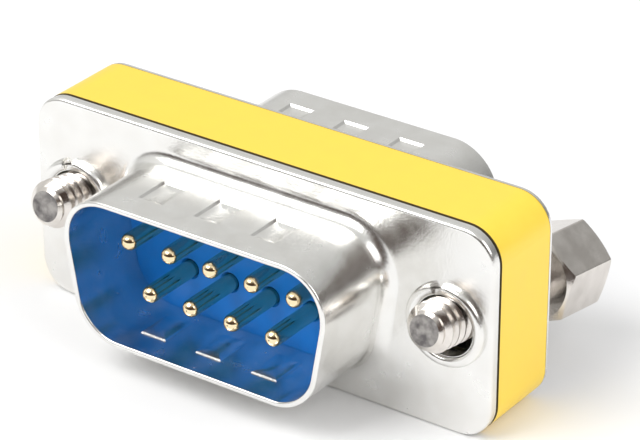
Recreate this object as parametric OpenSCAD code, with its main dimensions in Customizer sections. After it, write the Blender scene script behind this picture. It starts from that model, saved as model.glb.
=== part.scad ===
// D-sub gender changer, nine contacts, plug on both sides, with two captive jackscrews.
// Two drawn plug shells stand back to back on a moulded spacer frame. The rear half is
// the front half turned half round about the X axis, so its wide side points down, and
// nine cranked contacts then run straight through from plug to plug.
// X runs along the plugs, -Y is the front plug's mating side, +Z is up. The part rests on
// the long edges of its flanges, and the origin is the middle of that rest.

/* [Flanges] */
// Steel left between a screw collar and the flange's end
flange_ear = 0.17; // [0.05:0.01:1.5]
// Height of the flanges
flange_h = 12.5; // [11.5:0.1:15]
// Corner radius of the flanges
flange_r = 2; // [1.5:0.1:4]
// Thickness of each steel sheet
sheet_t = 0.32; // [0.25:0.01:0.4]
// Rounding of a shell's flange edge
edge_r = 0.22; // [0.1:0.02:0.24]
// Distance between the two screw axes
hole_pitch = 24.99; // [24.6:0.01:25.2]
// Set-back of the inner plates' edges from the shells' edges
plate_inset = 0.12; // [0.11:0.01:0.2]

/* [Plug shells] */
// Inside width of a plug at its wide side
plug_w = 16.8; // [16.4:0.1:17.2]
// Inside height of a plug
plug_h = 8.15; // [7.9:0.05:8.5]
// Inside corner radius of a plug
plug_r = 2.55; // [2:0.05:3]
// Lean of the plug's two short sides, in degrees
side_lean = 10; // [6:1:12]
// Height of a plug's skirt above its flange
skirt_h = 5.9; // [5:0.1:6.5]
// Radius where the skirt is drawn up from the flange
root_r = 0.85; // [0.4:0.05:1]

/* [Dimples] */
// Number of pressed dimples on each long side
dimple_count = 3; // [1:1:4]
// Distance between dimples
dimple_pitch = 3.75; // [3:0.05:4.2]
// Width of a dimple along the plug
dimple_w = 1.75; // [1.2:0.05:2.4]
// Length of a dimple towards the rim
dimple_l = 2.4; // [1.6:0.1:3]
// Depth of a dimple
dimple_d = 0.22; // [0.1:0.02:0.3]
// Height of the dimples' middle above the flange
dimple_z = 2.95; // [2:0.05:3.2]

/* [Contacts] */
// Diameter of the round contact pins
pin_d = 1.02; // [0.9:0.01:1.1]
// Distance between neighbouring pins of one row
pin_pitch = 2.77; // [2.6:0.01:2.9]
// Distance between the two rows
row_gap = 2.84; // [2.6:0.01:3]
// How far the pin tips stay behind the plug's rim
pin_recess = 1.35; // [0.8:0.05:2]
// Diameter of the cranked wire between the two pins of a contact
wire_d = 0.8; // [0.5:0.05:0.9]
// Bend radius of the crank, at the wire's middle
wire_bend_r = 0.6; // [0.5:0.05:0.8]
// Diameter of the collar that holds a contact in its insulator
contact_collar_d = 1.5; // [1.2:0.05:1.8]
// Thickness of that collar
contact_collar_t = 0.4; // [0.2:0.05:0.6]
// Distance of that collar from the mid plane
contact_collar_y = 1.8; // [1.75:0.05:2]

/* [Insulators] */
// How far the insulator's face stands above the flange, inside the plug
face_h = 0.55; // [0.1:0.05:0.8]
// Rim of the insulator's shoulder around the plug part
shoulder_w = 0.9; // [0.6:0.05:1.1]
// Depth of the shoulder's seat in the spacer frame
shoulder_seat = 0.4; // [0.2:0.05:0.6]
// Distance of the insulator's inner end from the mid plane
insulator_inner_y = 1.2; // [1.1:0.05:1.5]
// Clearance around what is pushed into a moulding or a shell
fit_gap = 0.03; // [0.02:0.01:0.06]

/* [Spacer frame] */
// Depth of the frame, from inner plate to inner plate
frame_depth = 4.62; // [4.4:0.02:7]
// Width of the rebate round each end of the frame
rebate_w = 0.16; // [0.1:0.02:0.3]
// Depth of that rebate
rebate_d = 0.45; // [0.2:0.05:0.8]
// Thickness of the yellow wrap
wrap_t = 0.1; // [0.06:0.01:0.1]
// Gap between the wrap and the rear shell, which the wrap was pushed close to
wrap_gap = 0.04; // [0.02:0.01:0.2]

/* [Screw collars] */
// Bore of the collars that the screws pass through
collar_bore_d = 4.1; // [3.8:0.02:4.2]
// Height of a collar's rolled lip above the flange
lip_h = 0.4; // [0.4:0.02:0.8]
// Width of the split in each lip, in degrees
split_angle = 18; // [10:1:40]
// Place of that split, in degrees from the flange's long direction
split_at = 84; // [0:1:180]

/* [Jackscrews] */
// Outer diameter of the thread, 4-40
thread_d = 2.845; // [2.5:0.005:3]
// Chamfer on the thread's cut end
thread_chamfer = 0.5; // [0.1:0.02:0.6]
// Distance from the hex to the thread's end
shank_l = 10.8; // [10:0.1:13]
// Width of the hex across its flats
hex_af = 4.76; // [4.5:0.01:5]
// Length of the hex
hex_l = 4.4; // [3.5:0.1:6]
// Turn of the hex about its own axis, in degrees
hex_turn = 41; // [0:1:59]
// Bore of the threaded hole in the hex
jack_bore_d = 2.3; // [2.1:0.05:2.5]
// Depth of that hole
jack_bore_l = 4; // [3:0.1:5]
// How far a screw slides, from its clip's stop until its hex meets the collar
screw_float = 1.8; // [1:0.1:2]
// How far the left screw is pushed in from its stop
left_push = 0.8; // [0:0.1:1]
// How far the right screw is pushed in from its stop
right_push = 0; // [0:0.1:1]
// Screws hang in their collars as when nobody holds the part, or sit straight
screws_hang = true; // [true, false]
// Clearance where a hanging screw comes near its collars
hang_gap = 0.05; // [0.03:0.01:0.1]

/* [Retaining clips] */
// Width of the clips
clip_w = 4.1; // [3.8:0.1:4.2]
// Height of the clips
clip_h = 6.4; // [5.5:0.1:7]
// Thickness of the clips
clip_t = 0.5; // [0.3:0.05:0.6]
// Diameter of the screw's neck in a clip
neck_d = 2.2; // [1.9:0.05:2.4]
// Clearance between neck and clip, on the radius
neck_gap = 0.06; // [0.03:0.01:0.1]
// Clearance between a clip and the pocket that it slides in
pocket_gap = 0.06; // [0.04:0.01:0.15]

/* [Hidden] */
$fn = 64;
top_row = 5;
low_row = 4;
plate_y = frame_depth / 2;
shell_y = plate_y + sheet_t;
flange_y = shell_y + sheet_t;
rim_y = flange_y + skirt_h;
pin_tip_y = rim_y - pin_recess;
face_y = flange_y + face_h;
lip_y = flange_y + lip_h;
lip_w = 2 * sheet_t;
collar_r = collar_bore_d / 2;
flange_w = hole_pitch + 2 * (collar_r + lip_w + flange_ear);
screw_x = hole_pitch / 2;
row_z = row_gap / 2;
thread_r = thread_d / 2;
hex_r = hex_af / 2 / cos(30);
hex_chamfer_r = hex_af / 2 * 0.97;
reach_r = collar_r - hang_gap;
droop = screws_hang
    ? acos(thread_r / norm([reach_r, lip_y])) - atan(lip_y / reach_r)
    : 0;
hex_at = (lip_y + hang_gap + hex_chamfer_r * sin(droop)) / cos(droop) + screw_float;
clip_back = plate_y - hang_gap - clip_h / 2 * sin(droop);
clip_at = (clip_back - clip_t / 2 * cos(droop)) / cos(droop);
pocket_w = clip_w + 2 * pocket_gap;
pocket_h = clip_h + 4 * pocket_gap + 2 * plate_y * sin(droop);
frame_w = flange_w - 2 * wrap_t;
frame_h = flange_h - 2 * wrap_t;
frame_r = flange_r - wrap_t;
wrap_front = rebate_w - plate_y;
wrap_rear = shell_y - wrap_gap;
cut = 0.01;
corner_steps = 12;
root_steps = 7;
rim_steps = 2;

// Places children, drawn about the plugs' axis, above the surface that the part rests on.
module on_rest() translate([0, 0, flange_h / 2]) children();

// Turns a piece drawn flat, with its outward side up, to face the front or the rear.
module front_half() on_rest() rotate([90, 0, 0]) children();
module rear_half() on_rest() rotate([-90, 0, 0]) children();

module rounded_plate_outline(w, h, r) {
    square([w - 2 * r, h], center = true);
    square([w, h - 2 * r], center = true);
    for (sx = [-1, 1], sy = [-1, 1])
        translate([sx * (w / 2 - r), sy * (h / 2 - r)]) circle(r);
}

// Corner centres, on the +X side, of an outline whose side leans in towards -Y by the given
// degrees: the wide end's corner, then the narrow end's.
function wide_corner(w, h, r) = [w / 2 - r, h / 2 - r];
function narrow_corner(w, h, r, lean) =
    [w / 2 - r - (h - 2 * r) * tan(lean), r - h / 2];

module d_outline(w, h, r) {
    wide = wide_corner(w, h, r);
    narrow = narrow_corner(w, h, r, side_lean);
    out = r * [cos(side_lean), -sin(side_lean)];
    right = [wide + [0, r], wide + out, narrow + out, narrow - [0, r]];
    left = [for (i = [3:-1:0]) [-right[i].x, right[i].y]];
    polygon(concat(right, left));
    for (c = [wide, narrow], s = [-1, 1]) translate([s * c.x, c.y]) circle(r);
}

// The D outline of a plug, grown outward by g.
module plug_outline(g = 0) d_outline(plug_w + 2 * g, plug_h + 2 * g, plug_r + g);

function arc_points(c, r, from, to) =
    [for (i = [0:corner_steps]) let (a = from + (to - from) * i / corner_steps)
        c + r * [cos(a), sin(a)]];

// Points round a plug outline grown by g, each corner as an arc.
function plug_ring(g) =
    let (w = plug_w + 2 * g, h = plug_h + 2 * g, r = plug_r + g,
        wide = wide_corner(w, h, r), narrow = narrow_corner(w, h, r, side_lean))
    concat(
        arc_points(wide, r, -side_lean, 90),
        arc_points([-wide.x, wide.y], r, 90, 180 + side_lean),
        arc_points([-narrow.x, narrow.y], r, 180 + side_lean, 270),
        arc_points(narrow, r, 270, 360 - side_lean));

// Lofts a closed section round the plug: each section point is [growth, height].
module loft_round_plug(section) {
    rings = [for (p = section) [for (q = plug_ring(p.x)) [q.x, q.y, p.y]]];
    n = len(rings[0]);
    m = len(section);
    polyhedron([for (ring = rings) each ring],
        [for (j = [0:m - 1], i = [0:n - 1]) let (k = (j + 1) % m, l = (i + 1) % n)
            [j * n + i, k * n + i, k * n + l, j * n + l]]);
}

// Section of a skirt: the strip of flange at its foot, the round root, the wall and the rim.
function skirt_section() =
    let (foot = sheet_t + root_r, rim_r = 0.4 * sheet_t)
    concat(
        [[0, shell_y], [foot, shell_y]],
        [for (i = [0:root_steps]) let (a = 90 * (1 - i / root_steps))
            [foot - root_r * cos(a), flange_y + max(cut, root_r * (1 - sin(a)))]],
        [for (i = [0:rim_steps]) let (a = 90 * i / rim_steps)
            [sheet_t - rim_r * (1 - cos(a)), rim_y - rim_r * (1 - sin(a))]],
        [for (i = [0:rim_steps]) let (a = 90 + 90 * i / rim_steps)
            [rim_r * (1 + cos(a)), rim_y - rim_r * (1 - sin(a))]]);

// What is taken off a sheet's edge to round it: the corner is at the origin, up and outward.
module edge_round_section(r) difference() {
    translate([-r, -r]) square(2 * r);
    translate([-r, -r]) circle(r);
    translate([-3 * r, -3 * r]) square([2 * r, 5 * r]);
    translate([-3 * r, -3 * r]) square([5 * r, 2 * r]);
}

// A pressed dimple: four slopes down to a small floor, drawn on the wall's outer face.
module dimple_body(grow = 0) {
    top_w = dimple_w + 2 * grow;
    top_l = dimple_l + 2 * grow;
    floor_share = 0.35;
    intersection() {
        rotate([90, 0, 0]) linear_extrude(top_l, center = true)
            polygon([[-top_w / 2, cut], [top_w / 2, cut],
                [top_w / 2 * floor_share, -dimple_d], [-top_w / 2 * floor_share, -dimple_d]]);
        rotate([90, 0, 90]) linear_extrude(top_w, center = true)
            polygon([[-top_l / 2, cut], [top_l / 2, cut],
                [top_l / 2 * floor_share, -dimple_d], [-top_l / 2 * floor_share, -dimple_d]]);
    }
}

// Places children at each dimple, with +Z out of the wall, which lies g outside the plug.
module at_dimples(g)
    for (side = [0, 180], i = [0:dimple_count - 1])
        rotate([0, 0, side])
            translate([(i - (dimple_count - 1) / 2) * dimple_pitch, plug_h / 2 + g,
                flange_y + dimple_z])
                rotate([-90, 0, 0]) children();

// Sweeps a section round the flange's edge: the section's x points outward, its y up.
module round_flange_edge() {
    cx = flange_w / 2 - flange_r;
    cy = flange_h / 2 - flange_r;
    for (turn = [0, 180]) rotate(turn) {
        translate([flange_w / 2, 0]) rotate([90, 0, 0])
            linear_extrude(2 * cy, center = true) children();
        translate([0, flange_h / 2]) rotate([90, 0, 90])
            linear_extrude(2 * cx, center = true) children();
        translate([cx, cy]) rotate_extrude(angle = 90) translate([flange_r, 0]) children();
        translate([cx, -cy]) rotate(-90) rotate_extrude(angle = 90) translate([flange_r, 0])
            children();
    }
}

// A shell's flange, with its outer edge rounded over.
module flange() difference() {
    translate([0, 0, shell_y]) linear_extrude(sheet_t) difference() {
        rounded_plate_outline(flange_w, flange_h, flange_r);
        plug_outline(sheet_t + root_r / 2);
        for (sx = [-1, 1]) translate([sx * screw_x, 0]) circle(collar_r + sheet_t + fit_gap);
    }
    translate([0, 0, flange_y]) round_flange_edge() edge_round_section(edge_r);
}

module plug_shell() color("silver") {
    flange();
    difference() {
        loft_round_plug(skirt_section());
        at_dimples(sheet_t) dimple_body();
    }
    at_dimples(0) dimple_bump();
}

// The inner side of a dimple, standing out of the wall's inner face.
module dimple_bump() translate([0, 0, cut]) dimple_body(-sheet_t / 2);

// The sheet behind a shell, with the collars that are drawn through the shell and rolled over.
module inner_plate() color("gainsboro") {
    difference() {
        translate([0, 0, plate_y]) linear_extrude(sheet_t)
            rounded_plate_outline(flange_w - 2 * plate_inset, flange_h - 2 * plate_inset,
                flange_r - plate_inset);
        translate([0, 0, plate_y - cut]) linear_extrude(sheet_t + 2 * cut)
            plug_outline(shoulder_w + fit_gap);
        for (sx = [-1, 1]) translate([sx * screw_x, 0, plate_y - cut])
            cylinder(r = collar_r, h = sheet_t + 2 * cut);
    }
    for (sx = [-1, 1]) translate([sx * screw_x, 0, 0]) rolled_collar();
}

// The collar's neck, and the lip that is rolled outward from it and split when it was rolled.
module rolled_collar() difference() {
    rotate_extrude() {
        translate([collar_r, shell_y]) square([sheet_t, sheet_t + lip_h - lip_w / 2]);
        translate([collar_r, flange_y]) square([lip_w, lip_h - lip_w / 2]);
        intersection() {
            translate([collar_r, flange_y]) square(lip_w);
            translate([collar_r + lip_w / 2, lip_y - lip_w / 2]) circle(lip_w / 2);
        }
    }
    translate([0, 0, flange_y]) rotate(split_at) linear_extrude(2 * lip_h)
        polygon([[0, 0], [2 * collar_r, -2 * collar_r * tan(split_angle / 2)],
            [2 * collar_r, 2 * collar_r * tan(split_angle / 2)]]);
}

// Places children at each contact of the front plug: the long row, then the short row.
function contact_x(n) = n <= top_row
    ? (n - (top_row + 1) / 2) * pin_pitch
    : (n - top_row - (low_row + 1) / 2) * pin_pitch;
function contact_side(n) = n <= top_row ? 1 : -1;

module insulator() color("royalblue") difference() {
    union() {
        translate([0, 0, shell_y]) linear_extrude(face_y - shell_y) plug_outline(-fit_gap);
        translate([0, 0, plate_y - shoulder_seat]) linear_extrude(shoulder_seat + sheet_t)
            plug_outline(shoulder_w);
        translate([0, 0, insulator_inner_y])
            linear_extrude(plate_y - shoulder_seat - insulator_inner_y)
                plug_outline(-shoulder_w);
    }
    for (n = [1:top_row + low_row])
        translate([contact_x(n), contact_side(n) * row_z, 0]) {
            cylinder(d = pin_d + 2 * fit_gap, h = face_y + cut);
            translate([0, 0, contact_collar_y - fit_gap])
                cylinder(d = contact_collar_d + 2 * fit_gap, h = contact_collar_t + 2 * fit_gap);
        }
}

module spacer_frame() color("ivory") on_rest() rotate([90, 0, 0]) difference() {
    union() {
        linear_extrude(frame_depth - 2 * rebate_w, center = true)
            rounded_plate_outline(frame_w, frame_h, frame_r);
        linear_extrude(frame_depth, center = true)
            rounded_plate_outline(frame_w - 2 * rebate_d, frame_h - 2 * rebate_d,
                frame_r - rebate_d);
    }
    for (turn = [0, 180]) rotate([turn, 0, 0]) {
        translate([0, 0, plate_y - shoulder_seat]) linear_extrude(shoulder_seat + cut)
            plug_outline(shoulder_w + fit_gap);
        translate([0, 0, -cut]) linear_extrude(plate_y) plug_outline(fit_gap - shoulder_w);
    }
    for (sx = [-1, 1]) translate([sx * screw_x, 0, 0])
        cube([pocket_w, pocket_h, frame_depth + 2 * cut], center = true);
}

module yellow_wrap() color("gold") on_rest() translate([0, wrap_rear, 0]) rotate([90, 0, 0])
    linear_extrude(wrap_rear - wrap_front) difference() {
        rounded_plate_outline(flange_w, flange_h, flange_r);
        rounded_plate_outline(frame_w, frame_h, frame_r);
    }

// One contact: a round pin to each plug, a collar in each insulator and a crank between.
module contact(n) color("goldenrod") on_rest() translate([contact_x(n), 0, 0])
    rotate([0, 0, contact_side(n) > 0 ? 0 : 180])
        for (turn = [0, 180]) rotate([turn, 0, 0]) half_contact();

module half_contact() {
    translate([0, 0, row_z]) rotate([90, 0, 0]) {
        translate([0, 0, wire_bend_r]) cylinder(d = wire_d, h = insulator_inner_y);
        translate([0, 0, insulator_inner_y])
            cylinder(d = pin_d, h = pin_tip_y - pin_d / 2 - insulator_inner_y);
        translate([0, 0, pin_tip_y - pin_d / 2]) sphere(d = pin_d);
        translate([0, 0, contact_collar_y]) cylinder(d = contact_collar_d, h = contact_collar_t);
    }
    translate([0, -wire_bend_r, row_z - wire_bend_r]) rotate([90, 0, 90])
        rotate_extrude(angle = 90) translate([wire_bend_r, 0]) circle(d = wire_d);
    cylinder(d = wire_d, h = row_z - wire_bend_r);
}

// Places children, drawn along +Z towards the hex, on the axis of a screw as it is pushed in.
module on_screw(sx) on_rest() translate([sx * screw_x, 0, 0]) rotate([-90 - droop, 0, 0])
    translate([0, 0, sx < 0 ? -left_push : -right_push]) children();

module hex_head() difference() {
    rotate(hex_turn) cylinder(r = hex_r, h = hex_l, $fn = 6);
    for (end = [0, 1]) translate([0, 0, end * hex_l]) mirror([0, 0, end])
        rotate_extrude() polygon([[hex_chamfer_r, -cut], [hex_r + 1, -cut],
            [hex_r + 1, (hex_r + 1 - hex_chamfer_r) * tan(30)], [hex_chamfer_r, 0]]);
    translate([0, 0, hex_l - jack_bore_l]) cylinder(d = jack_bore_d, h = jack_bore_l + cut);
    translate([0, 0, hex_l - (thread_d - jack_bore_d) / 2])
        cylinder(d1 = jack_bore_d, d2 = thread_d + 2 * cut, h = (thread_d - jack_bore_d) / 2 + cut);
}

module jackscrew(sx) color("lightslategray") on_screw(sx) {
    translate([0, 0, hex_at]) hex_head();
    difference() {
        rotate_extrude() polygon([[0, hex_at - shank_l],
            [thread_r - thread_chamfer, hex_at - shank_l],
            [thread_r, hex_at - shank_l + thread_chamfer],
            [thread_r, hex_at + cut], [0, hex_at + cut]]);
        translate([0, 0, clip_at - clip_t / 2 - neck_gap]) difference() {
            cylinder(r = thread_d, h = clip_t + 2 * neck_gap);
            translate([0, 0, -cut]) cylinder(d = neck_d, h = clip_t + 2 * neck_gap + 2 * cut);
        }
    }
}

// A flat spring clip, pushed onto the screw's neck from above.
module clip(sx) color("dimgray") on_screw(sx)
    translate([0, 0, clip_at - clip_t / 2]) linear_extrude(clip_t) difference() {
        rounded_plate_outline(clip_w, clip_h, clip_w / 8);
        circle(neck_d / 2 + neck_gap);
        translate([-neck_d / 2, 0]) square([neck_d, clip_h]);
    }

front_half() plug_shell();  // front_shell
rear_half() plug_shell();  // rear_shell
front_half() inner_plate();  // front_inner_plate
rear_half() inner_plate();  // rear_inner_plate
front_half() insulator();  // front_insulator
rear_half() insulator();  // rear_insulator
spacer_frame();
yellow_wrap();
for (n = [1:top_row + low_row])
    contact(n);
jackscrew(-1);  // left_jackscrew
jackscrew(1);  // right_jackscrew
clip(-1);  // left_clip
clip(1);  // right_clip
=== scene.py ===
# %% [markdown]
# # A d-sub gender changer
# This lesson dresses a small connector adapter: two plug shells of thin tinned steel stand back
# to back on a yellow band, with gold pins in blue mouldings and a loose screw at each end.
# The construction is loaded as a fixed frame. What is drawn, threaded or chamfered on the real
# object is modelled here, and every piece gets a finish made from nodes.

import math

import bmesh
import bpy
from mathutils import Matrix, Vector


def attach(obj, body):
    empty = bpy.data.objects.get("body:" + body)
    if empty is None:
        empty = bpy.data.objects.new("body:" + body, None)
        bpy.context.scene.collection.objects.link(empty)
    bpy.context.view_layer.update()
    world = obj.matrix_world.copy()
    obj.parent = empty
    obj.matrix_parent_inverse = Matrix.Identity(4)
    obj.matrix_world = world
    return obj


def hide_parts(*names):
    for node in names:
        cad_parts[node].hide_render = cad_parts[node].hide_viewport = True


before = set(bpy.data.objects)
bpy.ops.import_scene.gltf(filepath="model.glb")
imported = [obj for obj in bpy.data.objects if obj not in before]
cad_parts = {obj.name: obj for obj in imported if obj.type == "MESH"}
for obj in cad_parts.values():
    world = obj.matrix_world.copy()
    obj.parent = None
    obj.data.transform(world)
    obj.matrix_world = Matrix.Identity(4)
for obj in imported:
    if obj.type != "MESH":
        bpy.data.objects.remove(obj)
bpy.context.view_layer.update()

# %% [markdown]
# ## The camera first
# The picture was taken with a long lens from the right, a little above. A long lens flattens
# perspective, so the two long edges of the flange stay almost parallel. The shift keeps the
# object at its place in the frame without turning the camera away from its axis.

# %% Camera
MM = 0.001
IMAGE_W = 640
SENSOR_W = 36
FOCAL_PX = 3302.4
CENTRE_PX = (265.3, 237.05)
IMAGE_H = 440
camera_at = Vector((94.599, -130.956, 93.318)) * MM
looking = Vector((-0.52128, 0.71029, -0.47303)).normalized()
camera_roll = math.radians(-0.512)

level_right = looking.cross(Vector((0, 0, 1))).normalized()
level_up = level_right.cross(looking)
right = level_right * math.cos(camera_roll) + level_up * math.sin(camera_roll)
up = level_up * math.cos(camera_roll) - level_right * math.sin(camera_roll)

camera_data = bpy.data.cameras.new("product_camera")
camera = bpy.data.objects.new("product_camera", camera_data)
bpy.context.collection.objects.link(camera)
camera_axes = Matrix((right, up, -looking)).transposed()
camera.matrix_world = Matrix.Translation(camera_at) @ camera_axes.to_4x4()
camera_data.sensor_width = SENSOR_W
camera_data.lens = FOCAL_PX * SENSOR_W / IMAGE_W
camera_data.shift_x = (IMAGE_W / 2 - CENTRE_PX[0]) / IMAGE_W
camera_data.shift_y = (CENTRE_PX[1] - IMAGE_H / 2) / IMAGE_W
camera_data.clip_start = 0.005
bpy.context.scene.camera = camera
shift = [round(value, 4) for value in (camera_data.shift_x, camera_data.shift_y)]
print("lens", round(camera_data.lens, 1), "mm, shift", shift)

# %% [markdown]
# ## Sizes that the pieces share
# The pieces below follow the frame, so its main sizes are written once here. Only the collars are
# a little smaller and off centre, as the press left them. A name with OUT is a distance from the
# mid plane towards a plug's mouth, because each half is drawn with its mouth up and then turned.

# %% Sizes in millimetres
REST_Z = 6.25
PLATE_OUT = 2.31
SHEET = 0.32
SHELL_OUT = PLATE_OUT + SHEET
FLANGE_OUT = SHELL_OUT + SHEET
SKIRT = 5.9
RIM_OUT = FLANGE_OUT + SKIRT
FLANGE = (30.71, 12.5, 2.0)
PLUG = (16.8, 8.15, 2.55)
LEAN = math.radians(10)
ROOT_R = 0.85
SCREW_X = 24.99 / 2
COLLAR_R = 1.8
COLLAR_LIFT = 0.25
LIP_W = 0.64
LIP_H = 0.4
FACE_OUT = FLANGE_OUT + 0.55
FIT = 0.03
NEAR = 1e-3

# %% [markdown]
# ## Small helpers for edit mode
# An operator acts on everything that is selected, and loading leaves the frame selected. So each
# new piece begins with nothing selected, and faces or edges are then picked by where they are.

# %% Helpers
def select_none():
    for other in bpy.context.selected_objects:
        other.select_set(False)


def activate(piece):
    select_none()
    piece.select_set(True)
    bpy.context.view_layer.objects.active = piece


def select_all_of_mesh():
    bpy.ops.mesh.select_all(action="SELECT")


def edit_mode(on):
    bpy.ops.object.mode_set(mode="EDIT" if on else "OBJECT")


def name_active(name):
    piece = bpy.context.active_object
    piece.name = name
    piece.data.name = name
    return piece


def pick(piece, kind, test):
    """Selects the vertices, edges or faces whose middle passes the test. The piece is in edit mode."""
    mesh = bmesh.from_edit_mesh(piece.data)
    mesh.select_mode = {kind}
    bpy.context.tool_settings.mesh_select_mode = [kind == k for k in ("VERT", "EDGE", "FACE")]
    for group in (mesh.verts, mesh.edges, mesh.faces):
        for item in group:
            item.select_set(False)
    group = {"VERT": mesh.verts, "EDGE": mesh.edges, "FACE": mesh.faces}[kind]
    found = 0
    for item in group:
        if kind == "VERT":
            middle = item.co
        elif kind == "EDGE":
            middle = (item.verts[0].co + item.verts[1].co) / 2
        else:
            middle = item.calc_center_median()
        if test(item, middle / MM):
            item.select_set(True)
            found += 1
    mesh.select_flush_mode()
    bmesh.update_edit_mesh(piece.data)
    return found


def apply_modifier(piece, kind, **values):
    activate(piece)
    modifier = piece.modifiers.new(kind.title(), kind)
    for key, value in values.items():
        setattr(modifier, key, value)
    bpy.ops.object.modifier_apply(modifier=modifier.name)


def combine(piece, tool, operation):
    """Unites, cuts or intersects piece with tool, and deletes the tool."""
    apply_modifier(piece, "BOOLEAN", object=tool, operation=operation, solver="EXACT")
    bpy.data.objects.remove(tool)


def settle(piece, turn=(0, 0, 0), place=(0, 0, 0)):
    """Turns and moves a piece drawn at the origin, and puts its place in its mesh."""
    activate(piece)
    piece.rotation_euler = turn
    piece.location = Vector(place) * MM
    bpy.ops.object.transform_apply(location=True, rotation=True, scale=True)


def smooth(piece, degrees):
    """Smooths shallow edges, and weighs normals by face size so that flat faces mirror flatly."""
    activate(piece)
    bpy.ops.object.shade_smooth_by_angle(angle=math.radians(degrees))
    apply_modifier(piece, "WEIGHTED_NORMAL", keep_sharp=True, weight=100)


def clean(piece):
    """Joins doubled points and flat neighbours that booleans leave, then cuts to triangles."""
    activate(piece)
    edit_mode(True)
    select_all_of_mesh()
    bpy.ops.mesh.remove_doubles(threshold=5e-7)
    select_all_of_mesh()
    bpy.ops.mesh.dissolve_limited(angle_limit=math.radians(0.2))
    select_all_of_mesh()
    bpy.ops.mesh.quads_convert_to_tris(quad_method="BEAUTY", ngon_method="BEAUTY")
    edit_mode(False)


# %% [markdown]
# ## The plug shell
# A plug's shell is one steel sheet, drawn through a die: the skirt rises from the flange with a
# round root, and dimples are pressed into its long walls so that it grips a socket. A box with
# a bevel would lose that drawn look. So the outline starts as a plane with rounded corners, an
# inset keeps an even strip round it for the root, and the skirt is extruded from what is inside.

# %% Outlines
def outlined_plane(name, wide, narrow, h, corner_wide, corner_narrow, height, steps):
    """A flat face with a wide end up and rounded corners. Corner values are cut lengths."""
    select_none()
    centre = (0, 0, height * MM)
    bpy.ops.mesh.primitive_plane_add(size=h * MM, location=centre)
    piece = name_active(name)
    bpy.ops.object.transform_apply(location=True, rotation=True, scale=True)
    edit_mode(True)
    pick(piece, "VERT", lambda v, c: c.y > 0)
    bpy.ops.transform.resize(value=(2 * wide / h, 1, 1), center_override=centre)
    pick(piece, "VERT", lambda v, c: c.y < 0)
    bpy.ops.transform.resize(value=(2 * narrow / h, 1, 1), center_override=centre)
    pick(piece, "VERT", lambda v, c: c.y > 0)
    bpy.ops.mesh.bevel(affect="VERTICES", offset=corner_wide * MM, segments=steps, profile=0.5)
    pick(piece, "VERT", lambda v, c: abs(c.y + h / 2) < NEAR and abs(c.x) > narrow - NEAR)
    bpy.ops.mesh.bevel(affect="VERTICES", offset=corner_narrow * MM, segments=steps, profile=0.5)
    edit_mode(False)
    return piece


def plug_outline(name, grow, height):
    """A face with the outline of the plug's inside, grown on all sides."""
    w, h, r = PLUG[0] + 2 * grow, PLUG[1] + 2 * grow, PLUG[2] + grow
    middle = w / 2 - r
    wide = middle + r * (1 + math.sin(LEAN)) / math.cos(LEAN)
    narrow = middle + (r - (h - r) * math.sin(LEAN)) / math.cos(LEAN)
    cuts = [r / math.tan((math.pi / 2 + lean) / 2) for lean in (-LEAN, LEAN)]
    return outlined_plane(name, wide, narrow, h, *cuts, height, 16)


def flange_outline(name, inset, height):
    """A face with the outline of the flange, made smaller on all sides."""
    w, h, r = FLANGE[0] - 2 * inset, FLANGE[1] - 2 * inset, FLANGE[2] - inset
    return outlined_plane(name, w / 2, w / 2, h, r, r, height, 12)


def from_edge(spot):
    """How far a spot on the flange lies inside its outer edge."""
    across = max(abs(spot.x) - FLANGE[0] / 2 + FLANGE[2], 0)
    along = max(abs(spot.y) - FLANGE[1] / 2 + FLANGE[2], 0)
    return FLANGE[2] - math.hypot(across, along)


# %% [markdown]
# The flat of the flange is filled between four outlines: the root's strip, the edge's strip and
# the two screw holes. Both strips are rows of even faces, so the bevels on them stay even too.
# The sheet gets its thickness last, and its cut edges are then rounded.

# %% Shell
DIMPLES = [i * 3.77 - 4.02 for i in range(3)]
DIMPLE = (1.65, 2.4)
DIMPLE_STEPS = ((0.13, 0.12), (0.38, 0.12))
DIMPLE_OUT = FLANGE_OUT + 2.95
HOLE_R = COLLAR_R + SHEET + FIT
EDGE_STRIP = 0.25
EDGE_ROUND = 0.2
RIM_ROUND = 0.11


def drawn_skirt(name):
    strip = ROOT_R + 0.05
    skirt = plug_outline(name, SHEET + strip, FLANGE_OUT)
    edit_mode(True)
    pick(skirt, "FACE", lambda f, c: True)
    bpy.ops.mesh.inset(thickness=strip * MM, depth=0)
    pick(skirt, "FACE", lambda f, c: c.xy.length < 1)
    bpy.ops.mesh.extrude_region_move(TRANSFORM_OT_translate={"value": (0, 0, SKIRT * MM)})
    bpy.ops.mesh.delete(type="ONLY_FACE")
    edit_mode(False)
    return skirt


def flange_lines():
    """The strip along the flange's edge and the outlines of its two holes."""
    edge = flange_outline("flange_edge", 0, FLANGE_OUT)
    edit_mode(True)
    pick(edge, "FACE", lambda f, c: True)
    bpy.ops.mesh.inset(thickness=EDGE_STRIP * MM, depth=0)
    pick(edge, "FACE", lambda f, c: c.xy.length < 1)
    bpy.ops.mesh.delete(type="ONLY_FACE")
    edit_mode(False)
    lines = [edge]
    for side in (-1, 1):
        select_none()
        centre = Vector((side * SCREW_X, COLLAR_LIFT, FLANGE_OUT)) * MM
        bpy.ops.mesh.primitive_circle_add(vertices=48, radius=HOLE_R * MM, location=centre)
        bpy.ops.object.transform_apply(location=True, rotation=True, scale=True)
        lines.append(bpy.context.active_object)
    return lines


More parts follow.
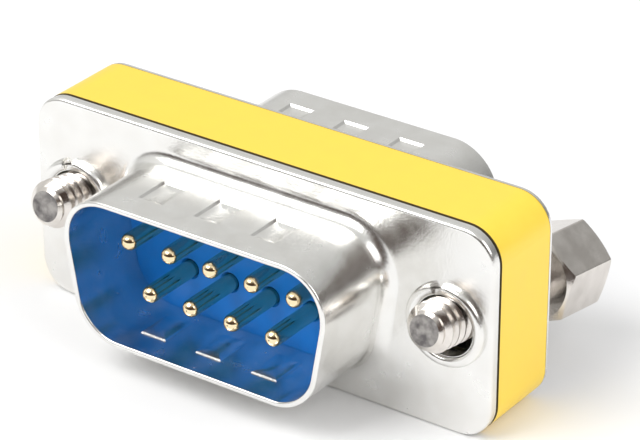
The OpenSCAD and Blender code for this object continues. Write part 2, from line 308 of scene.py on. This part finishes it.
def make_shell(name):
    shell = drawn_skirt(name)
    lines = flange_lines()
    activate(shell)
    for line in lines:
        line.select_set(True)
    bpy.ops.object.join()
    edit_mode(True)
    open_edges = pick(shell, "EDGE", lambda e, c: abs(c.z - FLANGE_OUT) < NEAR
                      and len(e.link_faces) < 2 and from_edge(c) > EDGE_STRIP / 2)
    bpy.ops.mesh.fill(use_beauty=True)
    select_all_of_mesh()
    bpy.ops.mesh.normals_make_consistent(inside=False)
    print("flange filled between", open_edges, "edges")

    def at_root(edge, middle):
        if abs(middle.z - FLANGE_OUT) > NEAR or len(edge.link_faces) != 2:
            return False
        steepness = sorted(abs(face.normal.z) for face in edge.link_faces)
        return steepness[0] < 0.1 and steepness[1] > 0.9

    pick(shell, "EDGE", at_root)
    bpy.ops.mesh.bevel(affect="EDGES", offset=ROOT_R * MM, segments=8, profile=0.5)
    press_dimples(shell)
    edit_mode(False)
    apply_modifier(shell, "SOLIDIFY", thickness=SHEET * MM, offset=-1)
    edit_mode(True)
    pick(shell, "EDGE", lambda e, c: c.z > RIM_OUT - NEAR and e.calc_face_angle(0) > 1)
    bpy.ops.mesh.bevel(affect="EDGES", offset=RIM_ROUND * MM, segments=5, profile=0.5)
    pick(shell, "EDGE", lambda e, c: abs(c.z - FLANGE_OUT) < NEAR
         and e.calc_face_angle(0) > 1 and from_edge(c) < EDGE_STRIP / 2)
    bpy.ops.mesh.bevel(affect="EDGES", offset=EDGE_ROUND * MM, segments=5, profile=0.5)
    edit_mode(False)
    return shell


def press_dimples(shell):
    """Presses the dimples into both long walls: a steep step round each, then a shallow hollow."""
    wide, long = DIMPLE
    for side in (-1, 1):
        def on_wall(face, middle):
            return face.normal.y * side > 0.999

        for x in [x + s * wide / 2 for x in DIMPLES for s in (-1, 1)]:
            pick(shell, "FACE", on_wall)
            bpy.ops.mesh.bisect(plane_co=(x * MM, 0, 0), plane_no=(1, 0, 0))
        for z in (DIMPLE_OUT - long / 2, DIMPLE_OUT + long / 2):
            pick(shell, "FACE", on_wall)
            bpy.ops.mesh.bisect(plane_co=(0, 0, z * MM), plane_no=(0, 0, 1))
        found = pick(shell, "FACE", lambda f, c: on_wall(f, c) and abs(c.z - DIMPLE_OUT) < long / 2
                     and min(abs(c.x - x) for x in DIMPLES) < wide / 4)
        for width, depth in DIMPLE_STEPS:
            bpy.ops.mesh.inset(thickness=width * MM, depth=0, use_individual=True)
            bpy.ops.transform.translate(value=(0, -side * depth * MM, 0))
        print(found, "dimples pressed on side", side)


# %% [markdown]
# ## What fills a shell
# The blue moulding swells out to meet the drawn root of the steel, so no dark slot shows round
# its face. The easiest way to make that fit exact is to cut the moulding with the shell itself.
# Behind each shell lies a second sheet. Its two collars come through the flange, and a press
# rolls each one over to a bead, which splits where the steel gives way.

# %% Insulator
def thicken(slab, height):
    edit_mode(True)
    select_all_of_mesh()
    bpy.ops.mesh.extrude_region_move(TRANSFORM_OT_translate={"value": (0, 0, height * MM)})
    select_all_of_mesh()
    bpy.ops.mesh.normals_make_consistent(inside=False)
    edit_mode(False)
    return slab


def plug_slab(name, grow, bottom, top):
    """A solid with the plug's outline, grown by the given amount, from bottom to top."""
    return thicken(plug_outline(name, grow, bottom), top - bottom)


def round_bar(name, radius, bottom, top, chamfers=(0, 0), sides=64, centre=(0, 0)):
    """A bar along +Z. Its chamfers, at the bottom and the top, are given as (radial, along)."""
    select_none()
    middle = (0, 0, (top + bottom) / 2 * MM)
    bpy.ops.mesh.primitive_cylinder_add(vertices=sides, radius=radius * MM,
                                        depth=(top - bottom) * MM, location=middle)
    bar = name_active(name)
    bpy.ops.object.transform_apply(location=True, rotation=True, scale=True)
    edit_mode(True)
    for end, cut in zip((bottom, top), chamfers):
        if cut:
            pick(bar, "FACE", lambda f, c: abs(c.z - end) < NEAR)
            along = cut[1] if end == bottom else -cut[1]
            bpy.ops.mesh.extrude_region_move(TRANSFORM_OT_translate={"value": (0, 0, 0)})
            share = (radius - cut[0]) / radius
            bpy.ops.transform.resize(value=(share, share, 1), center_override=(0, 0, end * MM))
            pick(bar, "VERT", lambda v, c: abs(c.z - end) < NEAR and c.xy.length > radius - NEAR)
            bpy.ops.transform.translate(value=(0, 0, along * MM))
    edit_mode(False)
    settle(bar, place=(*centre, 0))
    return bar


CONTACT_PITCH = 2.77
ROW = 1.42
PIN_SLOTS = [((n - 2) * CONTACT_PITCH, ROW) for n in range(5)]
PIN_SLOTS += [((n - 1.5) * CONTACT_PITCH, -ROW) for n in range(4)]
PIN_HOLE_R = 0.54
MOUTH = 0.15
PAST = 0.2


def make_insulator(name, shell):
    moulding = plug_slab(name, SHEET / 2, SHELL_OUT, FACE_OUT)
    activate(shell)
    bpy.ops.object.duplicate()
    combine(moulding, bpy.context.active_object, "DIFFERENCE")
    combine(moulding, plug_slab("shoulder", 0.9, PLATE_OUT - 0.4, SHELL_OUT), "UNION")
    combine(moulding, plug_slab("tail", -0.9, 1.2, PLATE_OUT - 0.3), "UNION")
    for centre in PIN_SLOTS:
        hole = round_bar("pin_hole", PIN_HOLE_R, 1, FACE_OUT + PAST, sides=32, centre=centre)
        combine(moulding, hole, "DIFFERENCE")
        mouth = round_bar("hole_mouth", PIN_HOLE_R + MOUTH, FACE_OUT - 0.1, FACE_OUT + 0.05,
                          ((MOUTH, MOUTH), 0), 32, centre)
        combine(moulding, mouth, "DIFFERENCE")
    return moulding


# %% [markdown]
# A collar's bead starts as a small plane with its two upper corners rounded, which spin sweeps
# round the bore and leaves open by the split. Its two end faces are then pulled out to torn tips.

# %% Inner plate
SPLIT_AT = 84
SPLIT_ANGLE = 18
TORN_ENDS = ((1, 0.10, 0.05), (-1, 0.04, 0.16))


def make_bead(side):
    """The rolled lip of a collar: a bead swept round the bore, with two torn ends."""
    select_none()
    middle = COLLAR_R + 0.02 + LIP_W / 2
    bpy.ops.mesh.primitive_plane_add(size=1 * MM, rotation=(math.pi / 2, 0, 0))
    bead = name_active("bead")
    bead.scale = (LIP_W, LIP_H, 1)
    bead.location = Vector((middle, 0, FLANGE_OUT + 0.005 + LIP_H / 2)) * MM
    bpy.ops.object.transform_apply(location=True, rotation=True, scale=True)
    edit_mode(True)
    pick(bead, "VERT", lambda v, c: c.z > FLANGE_OUT + LIP_H / 2)
    bpy.ops.mesh.bevel(affect="VERTICES", offset=0.29 * MM, segments=6, profile=0.5)
    select_all_of_mesh()
    bpy.ops.mesh.spin(steps=56, angle=math.radians(360 - SPLIT_ANGLE), center=(0, 0, 0),
                      axis=(0, 0, 1))
    select_all_of_mesh()
    bpy.ops.mesh.remove_doubles(threshold=1e-7)
    bpy.ops.mesh.normals_make_consistent(inside=False)
    edit_mode(False)
    settle(bead, turn=(0, 0, math.radians(SPLIT_AT + SPLIT_ANGLE / 2)))
    edit_mode(True)
    for sign, lift, spread in TORN_ENDS:
        angle = math.radians(SPLIT_AT + sign * SPLIT_ANGLE / 2)
        along = Vector((-math.sin(angle), math.cos(angle), 0)) * -sign
        out = Vector((math.cos(angle), math.sin(angle), 0))
        pick(bead, "FACE", lambda f, c: abs(f.normal.dot(along)) > 0.95
             and c.xy.length > COLLAR_R and abs(math.atan2(c.y, c.x) - angle) < 0.01)
        for share, step in ((0.8, 0.5), (0.55, 0.9)):
            push = (along * 0.1 * step + out * spread * step + Vector((0, 0, lift * step))) * MM
            bpy.ops.mesh.extrude_region_move(TRANSFORM_OT_translate={"value": push})
            end = (out * middle + Vector((0, 0, FLANGE_OUT + LIP_H / 2))) * MM + push
            bpy.ops.transform.resize(value=(share, share, share), center_override=end)
    edit_mode(False)
    settle(bead, place=(side * SCREW_X, COLLAR_LIFT, 0))
    return bead


def make_inner_plate(name, inset):
    plate = thicken(flange_outline(name, inset, PLATE_OUT), SHEET)
    window = plug_slab("window", 0.9 + FIT, PLATE_OUT - PAST, SHELL_OUT + PAST)
    combine(plate, window, "DIFFERENCE")
    for side in (-1, 1):
        spot = (side * SCREW_X, COLLAR_LIFT)
        neck = round_bar("neck", COLLAR_R + SHEET, PLATE_OUT + 0.05, FLANGE_OUT + 0.2, centre=spot)
        combine(plate, neck, "UNION")
        combine(plate, make_bead(side), "UNION")
        bore = round_bar("bore", COLLAR_R, PLATE_OUT - PAST, FLANGE_OUT + 1, centre=spot)
        combine(plate, bore, "DIFFERENCE")
    return plate


# %% [markdown]
# Both halves are drawn the same way and then turned, one mouth to the front and one to the rear.

# %% Two halves
shell_parts, plate_parts, insulator_parts = [], [], []
for side_name, turn, plate_inset in (("front", 90, 0.03), ("rear", -90, 0.12)):
    shell = make_shell(side_name + "_plug_shell")
    moulding = make_insulator(side_name + "_insulator_moulded", shell)
    plate = make_inner_plate(side_name + "_plate_rolled", plate_inset)
    for piece, node, slot, pieces, crease in (
            (shell, "_shell", "tin_plate", shell_parts, 20),
            (moulding, "_insulator", "blue_plastic", insulator_parts, 30),
            (plate, "_inner_plate", "tin_plate", plate_parts, 35)):
        settle(piece, turn=(math.radians(turn), 0, 0), place=(0, 0, REST_Z))
        clean(piece)
        smooth(piece, crease)
        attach(piece, "root")
        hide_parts(side_name + node)
        pieces.append(piece)
        print(piece.name, len(piece.data.polygons), "faces")

# %% [markdown]
# ## Jackscrews
# Each screw is turned from hexagon bar: a plain shank, a neck where the clip holds it, a rolled
# thread in front and a tapped hole in the hexagon. The thread is a true helix here: one pitch
# of its outline is drawn point by point, and the Screw modifier winds it up the shank.

# %% Thread and screw
DROOP = math.radians(9.4552)
HEX_AT = 5.6313
SHANK_L = 10.8
THREAD_R = 1.4225
PITCH = 0.635
HEX_AF = 4.76
HEX_L = 4.4
HEX_TURN = 41
HEX_END = HEX_AT + HEX_L
NECK = (1.1, 1.2, 1.82)
THREAD_DEPTH = 0.34
TIP_CHAMFER = (0.54, 0.5)
TAP_R = 1.15
TAP_L = 4


def wound_thread(name, crest_r, depth, bottom, top):
    """A threaded rod along +Z: a ridge wound by the Screw modifier, joined to its core."""
    select_none()
    bpy.ops.mesh.primitive_plane_add(size=PITCH * MM)
    rod = name_active(name)
    root_r = crest_r - depth
    edit_mode(True)
    bpy.ops.mesh.select_mode(type="VERT")
    bpy.ops.mesh.merge(type="CENTER")
    bpy.ops.transform.translate(value=((root_r - 0.1) * MM, 0, (bottom - PITCH) * MM))
    for out, share in ((depth + 0.1, 0.36), (0, 0.14), (-depth - 0.1, 0.36)):
        step = (out * MM, 0, share * PITCH * MM)
        bpy.ops.mesh.extrude_region_move(TRANSFORM_OT_translate={"value": step})
    select_all_of_mesh()
    bpy.ops.mesh.edge_face_add()
    bpy.ops.mesh.delete(type="ONLY_FACE")
    edit_mode(False)
    turns = math.ceil((top - bottom) / PITCH) + 1
    apply_modifier(rod, "SCREW", angle=2 * math.pi, screw_offset=PITCH * MM, iterations=turns,
                   steps=40, render_steps=40, axis="Z")
    edit_mode(True)
    select_all_of_mesh()
    bpy.ops.mesh.remove_doubles(threshold=1e-6)
    bpy.ops.mesh.select_all(action="DESELECT")
    bpy.ops.mesh.select_non_manifold()
    bpy.ops.mesh.fill_holes(sides=0)
    select_all_of_mesh()
    bpy.ops.mesh.normals_make_consistent(inside=False)
    edit_mode(False)
    combine(rod, round_bar("core", root_r, bottom - 0.2, top + 0.2), "UNION")
    combine(rod, round_bar("ends", crest_r + 0.3, bottom, top), "INTERSECT")
    return rod


def make_screw(name):
    neck_r, neck_start, neck_end = NECK
    tip_at = HEX_AT - SHANK_L
    screw = wound_thread(name, THREAD_R, THREAD_DEPTH, tip_at - 0.3, neck_start)
    tip = round_bar("tip_form", THREAD_R + 0.02, tip_at, neck_start + 0.5, (TIP_CHAMFER, 0))
    combine(screw, tip, "INTERSECT")
    combine(screw, round_bar("neck", neck_r, neck_start - 0.2, neck_end + 0.2), "UNION")
    plain = round_bar("plain_shank", THREAD_R, neck_end, HEX_AT + 0.3, ((0.1, 0.1), 0))
    combine(screw, plain, "UNION")
    head = hexagon("hexagon")
    tapped = wound_thread("tapped_hole", TAP_R + 0.14, 0.22, HEX_END - TAP_L, HEX_END + 0.5)
    combine(head, tapped, "DIFFERENCE")
    combine(screw, head, "UNION")
    return screw


def hexagon(name):
    """Hexagon bar with both ends turned to a 30 degree chamfer, and a countersunk far end."""
    select_none()
    corner_r = HEX_AF / 2 / math.cos(math.pi / 6)
    bpy.ops.mesh.primitive_cylinder_add(vertices=6, radius=corner_r * MM, depth=HEX_L * MM,
                                        location=(0, 0, (HEX_AT + HEX_L / 2) * MM),
                                        rotation=(0, 0, math.radians(HEX_TURN + 30)))
    head = name_active(name)
    bpy.ops.object.transform_apply(location=True, rotation=True, scale=True)
    edit_mode(True)
    pick(head, "EDGE", lambda e, c: abs(c.z - HEX_AT - HEX_L / 2) < 0.1)
    bpy.ops.mesh.bevel(affect="EDGES", offset=0.09 * MM, segments=3, profile=0.5)
    edit_mode(False)
    turned_r = corner_r + 0.1
    depth = turned_r - HEX_AF / 2 * 0.95
    cut = (depth, depth * math.tan(math.pi / 6))
    turned = round_bar("turned_form", turned_r, HEX_AT, HEX_END, (cut, cut), 96)
    combine(head, turned, "INTERSECT")
    cone = round_bar("countersink", THREAD_R + 0.35, HEX_END - 0.55, HEX_END + 0.05, ((0.6, 0.6), 0))
    combine(head, cone, "DIFFERENCE")
    return head


screws = {}
for side_name, side, pushed in (("left", -1, 0.8), ("right", 1, 0.0)):
    screw = make_screw(side_name + "_screw_threaded")
    settle(screw, place=(0, 0, -pushed))
    settle(screw, turn=(-math.pi / 2 - DROOP, 0, 0), place=(side * SCREW_X, 0, REST_Z))
    smooth(screw, 30)
    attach(screw, side_name + "_screw")
    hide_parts(side_name + "_jackscrew")
    screws[side_name] = screw
    print(screw.name, len(screw.data.polygons), "faces")

# %% [markdown]
# ## Finishes
# Metal lives from what it mirrors, so its own colour is nearly even: what tells tinned steel from
# nickel is how soft the mirror image is and how the sheet waves. Those effects are groups with
# named inputs, used by several materials at their own scale.

# %% Shared node groups
def new_group(name, inputs, outputs):
    group = bpy.data.node_groups.new(name, "ShaderNodeTree")
    for title, kind, value in inputs:
        socket = group.interface.new_socket(title, in_out="INPUT", socket_type=kind)
        if value is not None:
            socket.default_value = value
    for title, kind in outputs:
        group.interface.new_socket(title, in_out="OUTPUT", socket_type=kind)
    return group, group.nodes.new("NodeGroupInput"), group.nodes.new("NodeGroupOutput")


FLOAT = "NodeSocketFloat"
wave_group, g_in, g_out = new_group(
    "Sheet waves",
    [("Size", FLOAT, 300.0), ("Fine size", FLOAT, 2500.0), ("Depth", FLOAT, 0.3),
     ("Fine depth", FLOAT, 0.05)],
    [("Normal", "NodeSocketVector"), ("Mask", FLOAT)])
n, l = wave_group.nodes, wave_group.links
place = n.new("ShaderNodeTexCoord")
coarse = n.new("ShaderNodeTexNoise")
fine = n.new("ShaderNodeTexNoise")
coarse.inputs["Detail"].default_value = 1.5
fine.inputs["Detail"].default_value = 3.0
bump_fine = n.new("ShaderNodeBump")
bump_coarse = n.new("ShaderNodeBump")
for bump in (bump_fine, bump_coarse):
    bump.inputs["Distance"].default_value = 0.0001
l.new(place.outputs["Object"], coarse.inputs["Vector"])
l.new(place.outputs["Object"], fine.inputs["Vector"])
l.new(g_in.outputs["Size"], coarse.inputs["Scale"])
l.new(g_in.outputs["Fine size"], fine.inputs["Scale"])
l.new(coarse.outputs["Fac"], bump_coarse.inputs["Height"])
l.new(fine.outputs["Fac"], bump_fine.inputs["Height"])
l.new(g_in.outputs["Depth"], bump_coarse.inputs["Strength"])
l.new(g_in.outputs["Fine depth"], bump_fine.inputs["Strength"])
l.new(bump_coarse.outputs["Normal"], bump_fine.inputs["Normal"])
l.new(bump_fine.outputs["Normal"], g_out.inputs["Normal"])
l.new(fine.outputs["Fac"], g_out.inputs["Mask"])

tone_group, g_in, g_out = new_group(
    "Uneven tone",
    [("Light", "NodeSocketColor", (1, 1, 1, 1)), ("Dark", "NodeSocketColor", (0, 0, 0, 1)),
     ("Size", FLOAT, 800.0), ("Rough low", FLOAT, 0.2), ("Rough high", FLOAT, 0.4)],
    [("Color", "NodeSocketColor"), ("Roughness", FLOAT)])
n, l = tone_group.nodes, tone_group.links
place = n.new("ShaderNodeTexCoord")
noise = n.new("ShaderNodeTexNoise")
noise.inputs["Detail"].default_value = 4.0
l.new(place.outputs["Object"], noise.inputs["Vector"])
l.new(g_in.outputs["Size"], noise.inputs["Scale"])
spread = n.new("ShaderNodeMapRange")
spread.inputs["From Min"].default_value = 0.35
spread.inputs["From Max"].default_value = 0.65
l.new(noise.outputs["Fac"], spread.inputs["Value"])
blend = n.new("ShaderNodeMix")
blend.data_type = "RGBA"
l.new(spread.outputs["Result"], blend.inputs["Factor"])
l.new(g_in.outputs["Dark"], blend.inputs["A"])
l.new(g_in.outputs["Light"], blend.inputs["B"])
l.new(blend.outputs["Result"], g_out.inputs["Color"])
rough = n.new("ShaderNodeMapRange")
l.new(noise.outputs["Fac"], rough.inputs["Value"])
rough.inputs["From Min"].default_value = 0.3
rough.inputs["From Max"].default_value = 0.7
l.new(g_in.outputs["Rough low"], rough.inputs["To Min"])
l.new(g_in.outputs["Rough high"], rough.inputs["To Max"])
l.new(rough.outputs["Result"], g_out.inputs["Roughness"])


# %% Materials
def finish_material(name, light, dark, roughness, waves, metallic=0.0, tone_size=800.0,
                    specular=0.5):
    """A finish: two tones, two roughnesses, and waves as (size, fine size, depth, fine depth)."""
    material = bpy.data.materials.new(name)
    material.use_nodes = True
    nodes, links = material.node_tree.nodes, material.node_tree.links
    shader = nodes["Principled BSDF"]
    shader.inputs["Metallic"].default_value = metallic
    shader.inputs["Specular IOR Level"].default_value = specular
    tone = nodes.new("ShaderNodeGroup")
    tone.node_tree = tone_group
    tone.inputs["Light"].default_value = (*light, 1)
    tone.inputs["Dark"].default_value = (*dark, 1)
    tone.inputs["Size"].default_value = tone_size
    tone.inputs["Rough low"].default_value = roughness[0]
    tone.inputs["Rough high"].default_value = roughness[1]
    links.new(tone.outputs["Color"], shader.inputs["Base Color"])
    links.new(tone.outputs["Roughness"], shader.inputs["Roughness"])
    wave = nodes.new("ShaderNodeGroup")
    wave.node_tree = wave_group
    for key, value in zip(("Size", "Fine size", "Depth", "Fine depth"), waves):
        wave.inputs[key].default_value = value
    links.new(wave.outputs["Normal"], shader.inputs["Normal"])
    return material


def paint_seam_shade(material, seam_y, colour):
    """Paints shade on what lies in front of seam_y: the shadowed cut edge of the film and the shadowed
    rebate by the flange.
    """
    nodes, links = material.node_tree.nodes, material.node_tree.links
    shader = nodes["Principled BSDF"]
    place = nodes.new("ShaderNodeTexCoord")
    parts = nodes.new("ShaderNodeSeparateXYZ")
    in_front = nodes.new("ShaderNodeMath")
    in_front.operation = "LESS_THAN"
    in_front.inputs[1].default_value = seam_y * MM
    blend = nodes.new("ShaderNodeMix")
    blend.data_type = "RGBA"
    blend.inputs["B"].default_value = (*colour, 1)
    links.new(place.outputs["Object"], parts.inputs["Vector"])
    links.new(parts.outputs["Y"], in_front.inputs[0])
    links.new(in_front.outputs["Value"], blend.inputs["Factor"])
    links.new(shader.inputs["Base Color"].links[0].from_socket, blend.inputs["A"])
    links.new(blend.outputs["Result"], shader.inputs["Base Color"])


tin = finish_material(
    "tinned_steel", (0.86, 0.855, 0.835), (0.81, 0.80, 0.775), (0.19, 0.28),
    (200, 7000, 0.12, 0.08), metallic=1.0)
nickel = finish_material(
    "nickel_plate", (0.80, 0.76, 0.72), (0.66, 0.62, 0.58), (0.14, 0.26),
    (500, 4000, 0.2, 0.08), metallic=1.0)
cut_end = finish_material(
    "cut_end", (0.46, 0.44, 0.42), (0.16, 0.15, 0.15), (0.35, 0.5),
    (900, 3000, 0.5, 0.4), metallic=1.0, tone_size=1800.0)
gold = finish_material(
    "gold_plate", (0.93, 0.78, 0.52), (0.90, 0.74, 0.47), (0.08, 0.12),
    (900, 5000, 0.02, 0.01), metallic=1.0)
blue = finish_material(
    "blue_moulding", (0.006, 0.22, 0.78), (0.004, 0.20, 0.72), (0.3, 0.4),
    (400, 6000, 0.05, 0.05), specular=0.25)
yellow = finish_material(
    "yellow_film", (0.94, 0.66, 0.068), (0.93, 0.645, 0.063), (0.32, 0.42),
    (120, 5000, 0.05, 0.02))
cream = finish_material(
    "cream_moulding", (0.90, 0.85, 0.66), (0.86, 0.80, 0.60), (0.4, 0.5),
    (400, 5000, 0.05, 0.05))
spring = finish_material(
    "spring_steel", (0.35, 0.35, 0.36), (0.28, 0.28, 0.29), (0.3, 0.45),
    (500, 5000, 0.1, 0.1), metallic=1.0)

# Painted shade: the film's cut edge and the frame's rebate by the flange lie in shadow, so their
# colour is darkened here.
paint_seam_shade(yellow, -2.14, (0.12, 0.09, 0.04))
paint_seam_shade(cream, -2.09, (0.05, 0.04, 0.02))

# %% [markdown]
# The frame's own nodes and the new pieces now get their finishes. The faces at each screw's tip
# were cut off after plating, so they get a duller, mottled one.

# %% Who wears what
node_finishes = {"spacer_frame": cream, "yellow_wrap": yellow, "left_clip": spring,
                 "right_clip": spring}
node_finishes.update(("contact_%d" % number, gold) for number in range(1, 10))
for node, material in node_finishes.items():
    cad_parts[node].data.materials.clear()
    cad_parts[node].data.materials.append(material)
for pieces, material in (
        (shell_parts, tin), (plate_parts, tin), (insulator_parts, blue), (screws.values(), nickel)):
    for piece in pieces:
        piece.data.materials.append(material)

forward = Vector((0, -math.cos(DROOP), math.sin(DROOP)))
for screw in screws.values():
    screw.data.materials.append(cut_end)
    ends = [face for face in screw.data.polygons if face.normal.dot(forward) > 0.999]
    reach = max(face.center.dot(forward) for face in ends)
    for face in ends:
        face.material_index = int(face.center.dot(forward) > reach - 0.05 * MM)

# %% [markdown]
# ## Floor and light
# The backdrop is plain white. A white surrounding would leave metal flat, so mirror images see a
# room that gets brighter upwards and to the left, and has dark cards low in front and by the
# camera. Everything else sees an even white sky.

# %% Stage
select_none()
bpy.ops.mesh.primitive_plane_add(size=1.2, location=(0, 0, 0))
floor = name_active("floor")
floor_material = bpy.data.materials.new("pale_floor")
floor_material.use_nodes = True
floor_shader = floor_material.node_tree.nodes["Principled BSDF"]
floor_shader.inputs["Base Color"].default_value = (0.9, 0.9, 0.9, 1)
floor_shader.inputs["Roughness"].default_value = 0.9
floor.data.materials.append(floor_material)

world = bpy.data.worlds.new("studio")
bpy.context.scene.world = world
world.use_nodes = True
wn, wl = world.node_tree.nodes, world.node_tree.links
background = wn["Background"]
direction = wn.new("ShaderNodeTexCoord")


def direction_level(vector, offset):
    """A level that rises towards a vector: dot product plus an offset, kept between 0 and 1."""
    dot = wn.new("ShaderNodeVectorMath")
    dot.operation = "DOT_PRODUCT"
    wl.new(direction.outputs["Generated"], dot.inputs[0])
    dot.inputs[1].default_value = vector
    level = wn.new("ShaderNodeMath")
    level.operation = "ADD"
    level.use_clamp = True
    wl.new(dot.outputs["Value"], level.inputs[0])
    level.inputs[1].default_value = offset
    return level.outputs["Value"]


def mix_colour(factor, first, second):
    blend = wn.new("ShaderNodeMix")
    blend.data_type = "RGBA"
    wl.new(factor, blend.inputs["Factor"])
    for socket, colour in (("A", first), ("B", second)):
        if isinstance(colour, tuple):
            blend.inputs[socket].default_value = colour
        else:
            wl.new(colour, blend.inputs[socket])
    return blend.outputs["Result"]


BLACK, WHITE, WARM_WHITE = (0, 0, 0, 1), (1, 1, 1, 1), (1, 1, 0.98, 1)
EVEN_SKY = (0.62, 0.62, 0.62, 1)
CAMERA_CARD = ((2.2, -3.0, -1.0), -1.6, (0.10, 0.065, 0.05, 1))
FRONT_CARD = ((0.3, -3.0, -3.6), -0.6, (0.07, 0.05, 0.042, 1))

room = mix_colour(direction_level((-0.30, 0, 0.40), 0.38), BLACK, WARM_WHITE)
for towards, offset, colour in (CAMERA_CARD, FRONT_CARD):
    room = mix_colour(direction_level(towards, offset), room, colour)
rays = wn.new("ShaderNodeLightPath")
seen = mix_colour(rays.outputs["Is Glossy Ray"], EVEN_SKY, room)
wl.new(mix_colour(rays.outputs["Is Camera Ray"], seen, WHITE), background.inputs["Color"])


def soft_box(name, size, place, target, power):
    data = bpy.data.lights.new(name, "AREA")
    data.shape = "RECTANGLE"
    data.size, data.size_y = size
    data.energy = power
    lamp = bpy.data.objects.new(name, data)
    bpy.context.collection.objects.link(lamp)
    place = Vector(place)
    lamp.location = place
    lamp.rotation_euler = (Vector(target) - place).to_track_quat("-Z", "Y").to_euler()
    return lamp


LIT_SPOT = (0, 0, 0.006)
soft_box("key_light", (0.25, 0.25), (-0.12, -0.2, 0.3), LIT_SPOT, 0.95)
soft_box("fill_light", (0.3, 0.2), (0.25, 0.0, 0.2), LIT_SPOT, 0.4)

scene = bpy.context.scene
scene.view_settings.view_transform = "Standard"
